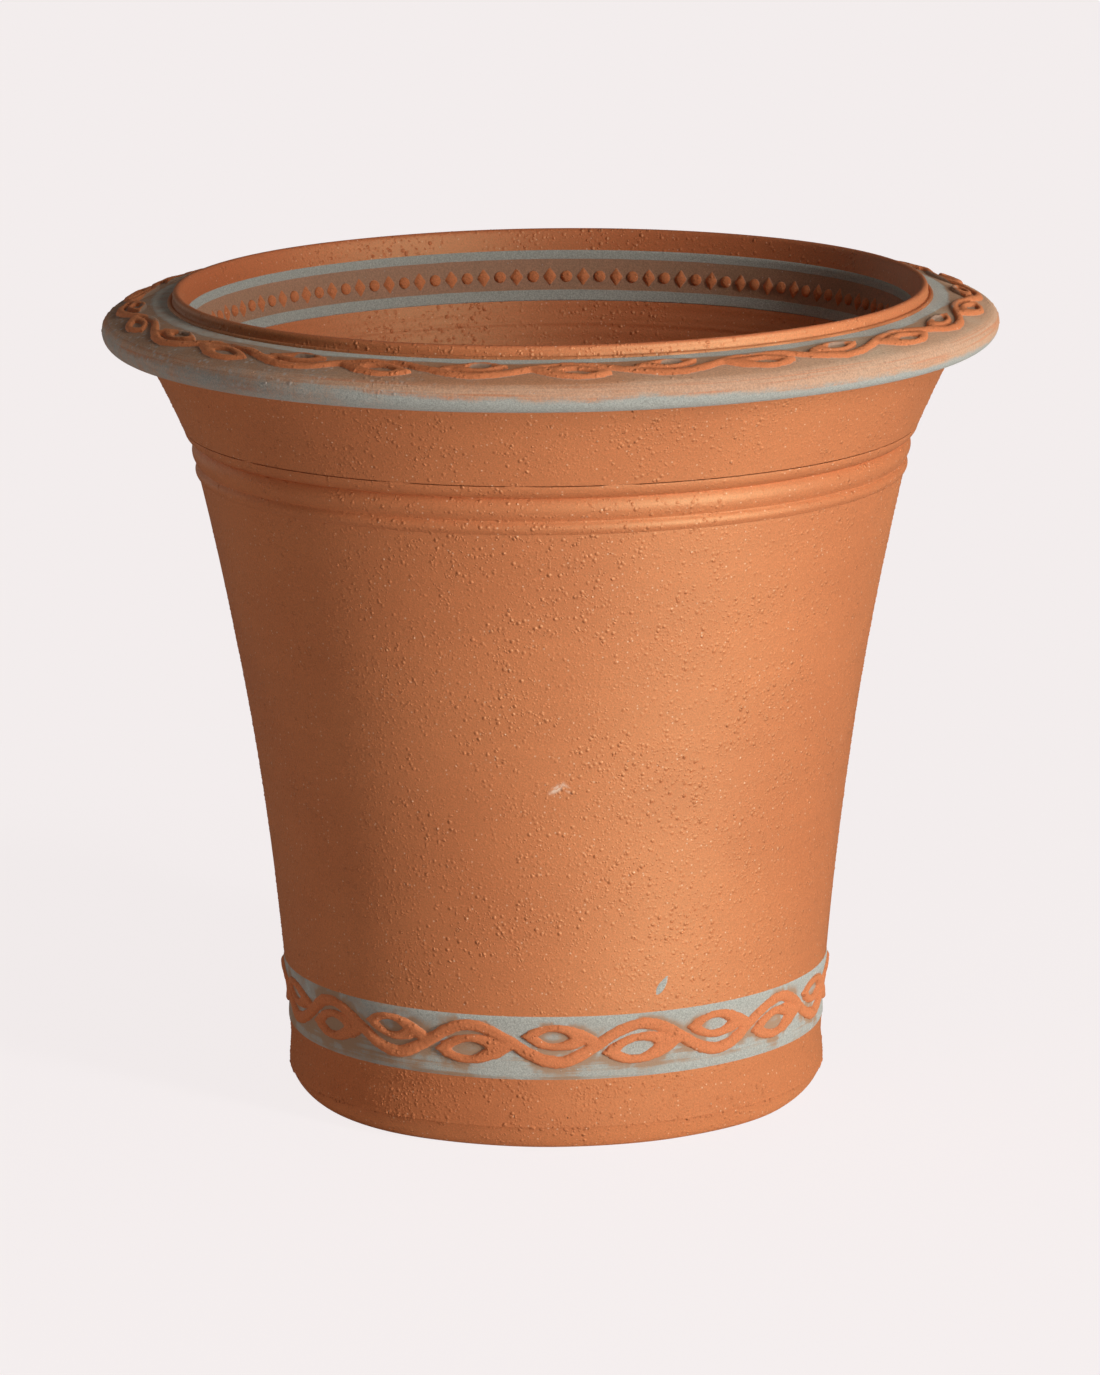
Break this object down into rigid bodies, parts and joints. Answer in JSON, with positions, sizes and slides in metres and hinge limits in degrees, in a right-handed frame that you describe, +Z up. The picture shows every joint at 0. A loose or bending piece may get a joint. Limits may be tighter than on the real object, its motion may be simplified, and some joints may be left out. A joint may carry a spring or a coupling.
{
  "type": "planter",
  "caption": "Round terracotta planter: flared thrown wall on a drained base, seamed collar with cordons, rolled rim, raised lip, slip bands and vine relief.",
  "frame": {"origin": "on the pot's axis at the standing face, so the pot stands on z = 0", "axes": "+Z up along the pot's axis, -Y towards the front that the picture shows, +X to its right"},
  "size_m": [0.3599, 0.36, 0.331],
  "materials": {
    "terracotta": "matte unglazed fired clay with grog",
    "blue_grey_slip": "matte fired slip, speckled",
    "wiped_slip": "matte fired slip, wiped thin so the clay shows through",
    "relief_clay": "matte fired clay, wiped clean of slip"
  },
  "bodies": {
    "root": {"base_disc": "terracotta", "lower_wall": "terracotta", "lower_cordon": "terracotta", "upper_cordon": "terracotta", "collar_wall": "terracotta", "rim_roll": "terracotta", "mouth_lip": "terracotta", "foot_slip": "blue_grey_slip", "rim_slip": "wiped_slip", "mouth_slip": "blue_grey_slip", "foot_vine_stem": "relief_clay", "foot_vine_leaves": "relief_clay", "rim_vine_stem": "relief_clay", "rim_vine_leaves": "relief_clay", "mouth_lozenges": "relief_clay", "mouth_beads": "relief_clay"}
  },
  "joints": []
}
